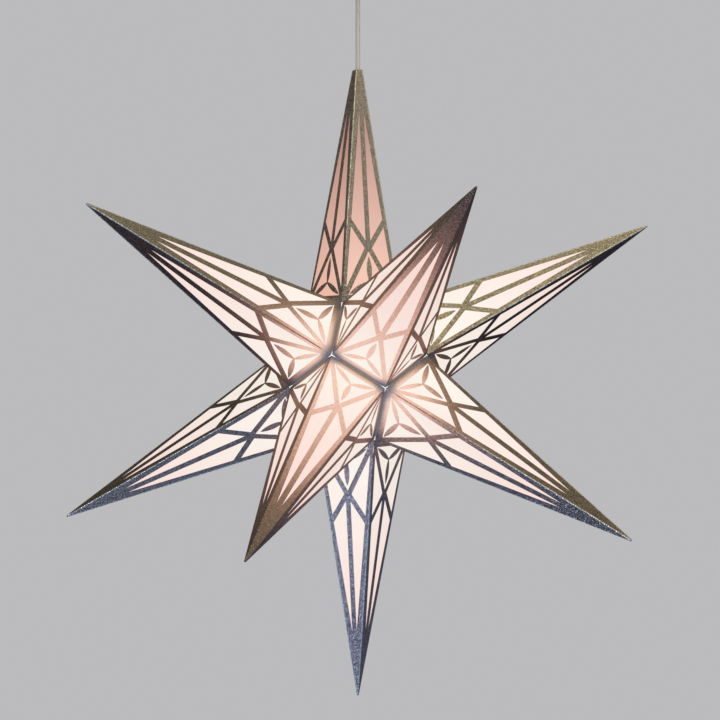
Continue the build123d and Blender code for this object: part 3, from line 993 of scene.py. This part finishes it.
for node, place in places.items():
    body = "service_point" if node == "service_spike" else "star"
    outside = shaded_card if node == "spike_top" else lit_card
    card = placed_copy(card_masters.get(node, closed_card), f"card_{node}", place, [outside, inner_card])
    ink = shaded_silver if node == "spike_top" else silver
    film = placed_copy(print_masters.get(node, closed_print), f"print_{node}", place, [ink])
    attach(card, body)
    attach(film, body)
    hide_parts(node)

for master in (closed_card, top_card, hinged_card, closed_print, top_print):
    bpy.data.objects.remove(master)
print(f"{len(places)} points in place")

# %% [markdown]
# ## Finishes of the fittings
#
# The lamp holder, the bulb, the plug in the top point and the ceiling rose keep the frame's own shapes,
# which are exact. Flat colours would do for them, but each material gets its own small detail: the ripple
# of moulded plastic, the orange peel of enamel, scratched and tarnished brass, the spangle of zinc, the
# mottle of things that give light, and the two colours of the wires.


# %% Finishes of the fittings
def plastic_finish(name, dark, light, rough):
    """Moulded plastic: a faint ripple and slightly uneven gloss."""
    finish = Finish(name)
    cloud = finish.noise(60, 3)
    ripple = finish.noise(1400, 2)
    return finish.surface(
        base_color=finish.mix(cloud, (*dark, 1), (*light, 1)),
        roughness=cloud * 0.15 + rough,
        normal=finish.bump(ripple, 0.04 * millimetre, 0.4),
    )


def enamel_finish():
    """Sprayed white enamel with its orange peel."""
    finish = Finish("white_enamel")
    peel = finish.noise(450, 1)
    cloud = finish.noise(18, 3)
    return finish.surface(
        base_color=finish.mix(cloud, (0.70, 0.69, 0.66, 1), (0.76, 0.75, 0.72, 1)),
        roughness=cloud * 0.1 + 0.22,
        normal=finish.bump(peel, 0.05 * millimetre, 0.35),
    )


def metal_finish(name, dull, bright, rough, spangle):
    """Sheet metal: crystals or tarnish of a given number to the metre, and fine scratches."""
    finish = Finish(name)
    crystals = finish.flakes(spangle)
    scratches = finish.streaks(12)
    return finish.surface(
        base_color=finish.mix(crystals * 0.5 + scratches * 0.5, (*dull, 1), (*bright, 1)),
        metallic=1.0,
        roughness=crystals * 0.12 + scratches * 0.12 + rough,
        normal=finish.bump(scratches, 0.03 * millimetre, 0.4),
    )


def lit_finish(name, own, glow, strength, mottle):
    """Something that gives light: its own colour, its glow, and a slight mottle in it."""
    finish = Finish(name)
    cloud = finish.noise(mottle, 2)
    dim_glow = tuple(0.86 * part for part in glow)
    dim_own = tuple(0.9 * part for part in own)
    return finish.surface(
        base_color=finish.mix(cloud, (*dim_own, 1), (*own, 1)),
        roughness=0.5,
        emission_color=finish.mix(cloud, (*dim_glow, 1), (*glow, 1)),
        emission_strength=strength,
    )


def wire_finish():
    """Two insulated wires, brown on one side of the cord and blue on the other."""
    finish = Finish("core_insulation")
    side = finish.along(finish.place(), "Y").step(-0.1 * millimetre, 0.1 * millimetre)
    streak = finish.noise(500, 2)
    pair = finish.mix(side, (0.19, 0.085, 0.045, 1), (0.06, 0.16, 0.42, 1))
    return finish.surface(
        base_color=finish.mix(streak * 0.25, pair, (0.25, 0.25, 0.25, 1)),
        roughness=0.4,
        normal=finish.bump(streak, 0.04 * millimetre, 0.3),
    )


fitting_finishes = {
    "cord_sheath": cord_sheath,
    "core_insulation": wire_finish(),
    "white_plastic": plastic_finish("white_plastic", (0.66, 0.65, 0.61), (0.74, 0.73, 0.69), 0.32),
    "black_plastic": plastic_finish("black_plastic", (0.020, 0.020, 0.022), (0.035, 0.034, 0.034), 0.38),
    "brass": metal_finish("brass", (0.52, 0.36, 0.14), (0.78, 0.60, 0.28), 0.20, 300),
    "zinc_steel": metal_finish("zinc_steel", (0.46, 0.47, 0.48), (0.70, 0.71, 0.72), 0.26, 420),
    "white_enamel": enamel_finish(),
    "opal_diffuser": lit_finish("opal_diffuser", (0.50, 0.48, 0.44), (1.0, 0.90, 0.74), 0.9, 60),
    "board_aluminium": metal_finish("board_aluminium", (0.60, 0.60, 0.60), (0.78, 0.78, 0.78), 0.30, 700),
    "led_phosphor": lit_finish("led_phosphor", (0.50, 0.42, 0.12), (1.0, 0.84, 0.36), 1.0, 900),
    "card": inner_card,
}
disc_finish = plastic_finish("cover_disc", (0.24, 0.21, 0.16), (0.32, 0.29, 0.22), 0.35)

for part in frame["record"]["subparts"]:
    node = frame["nodes"][part["node"]]
    node.data.materials.clear()
    is_disc = part["node"] == "cover_disc"
    node.data.materials.append(disc_finish if is_disc else fitting_finishes[part["material_slot"]])
print(f"{len(fitting_finishes)} finishes on the fittings")

# %% [markdown]
# ## The world and the floor
#
# A pale floor and a pale world of the same tone leave the star alone in the picture. A curved backdrop
# would hide views from behind, so the floor is flat, lies a room's height below the ceiling, where it
# leaves views from below free, and fades into the world with the distance, so that no horizon shows
# behind the star.

# %% World and floor
backdrop = (0.50, 0.50, 0.51)
ambient_level = 0.75  # of the backdrop, on matt things
floor_level = -2.5
floor_size = 24.0
fade_start, fade_end = 0.8, 4.0  # of the floor, from its middle


def studio_world():
    """Pale world: the camera and shiny things see the backdrop, and matt things get a little less light."""
    world = bpy.data.worlds.new("studio")
    scene.world = world
    world.use_nodes = True
    finish = Finish("studio", world.node_tree)
    rays = ("Is Camera Ray", "Is Glossy Ray", "Is Transmission Ray")
    direct, glossy, clear = [finish.node("ShaderNodeLightPath", output=ray) for ray in rays]
    light = finish.node("ShaderNodeBackground", inputs={"Color": (*backdrop, 1), "Strength": ambient_level})
    view = finish.node("ShaderNodeBackground", inputs={"Color": (*backdrop, 1), "Strength": 1.0})
    sky = finish.node("ShaderNodeMixShader", inputs={0: direct + glossy + clear, 1: light, 2: view})
    finish.plug(world.node_tree.nodes["World Output"], {"Surface": sky})


def floor_finish():
    """Pale speckled floor that turns into the backdrop's own tone further out."""
    finish = Finish("floor")
    plan = finish.vector("MULTIPLY", finish.place(), (1, 1, 0))
    far = finish.vector("LENGTH", plan, output="Value").step(fade_start, fade_end)
    speckle = finish.noise(60, 2)
    colour = finish.mix(speckle, (0.64, 0.64, 0.65, 1), (0.68, 0.68, 0.69, 1))
    finish.surface(base_color=colour, roughness=0.9)
    haze = finish.node("ShaderNodeEmission", inputs={"Color": (*backdrop, 1), "Strength": 1.0})
    near_surface = Wire(finish, finish.shader.outputs[0])
    blend = finish.node("ShaderNodeMixShader", inputs={0: far, 1: near_surface, 2: haze})
    finish.plug(finish.tree.nodes["Material Output"], {"Surface": blend})
    return finish.material


studio_world()
bpy.ops.object.select_all(action="DESELECT")
bpy.ops.mesh.primitive_plane_add(size=floor_size, location=(0, 0, floor_level))
floor = new_piece("floor")
floor.data.materials.append(floor_finish())
print(f"floor {-floor_level:.1f} m below the ceiling")

# %% [markdown]
# ## The lamps
#
# Three large soft lamps give the card and the silver their shape: a warm one from above, a cool one from
# low on the left, and a weaker one from the right. Small lamps would leave hard spots on the film, and
# the pale world alone would leave it flat.


# %% Lamps
def soft_lamp(name, place, size, power, colour):
    """A large square lamp that looks at the star's centre."""
    data = bpy.data.lights.new(name, "AREA")
    data.shape = "SQUARE"
    data.size = size
    data.energy = power
    data.color = colour
    lamp = bpy.data.objects.new(name, data)
    scene.collection.objects.link(lamp)
    lamp.location = star_centre + Vector(place)
    lamp.rotation_euler = (-Vector(place)).to_track_quat("-Z", "Y").to_euler()


soft_lamp("lamp_above", place=(0.45, -1.3, 1.8), size=1.4, power=20, colour=(1.0, 0.94, 0.84))
soft_lamp("lamp_left", place=(-0.8, -1.7, -0.6), size=1.1, power=18, colour=(0.88, 0.94, 1.0))
soft_lamp("lamp_right", place=(1.32, -1.76, 0.65), size=1.2, power=14, colour=(1.0, 0.97, 0.92))
print("three lamps in place")
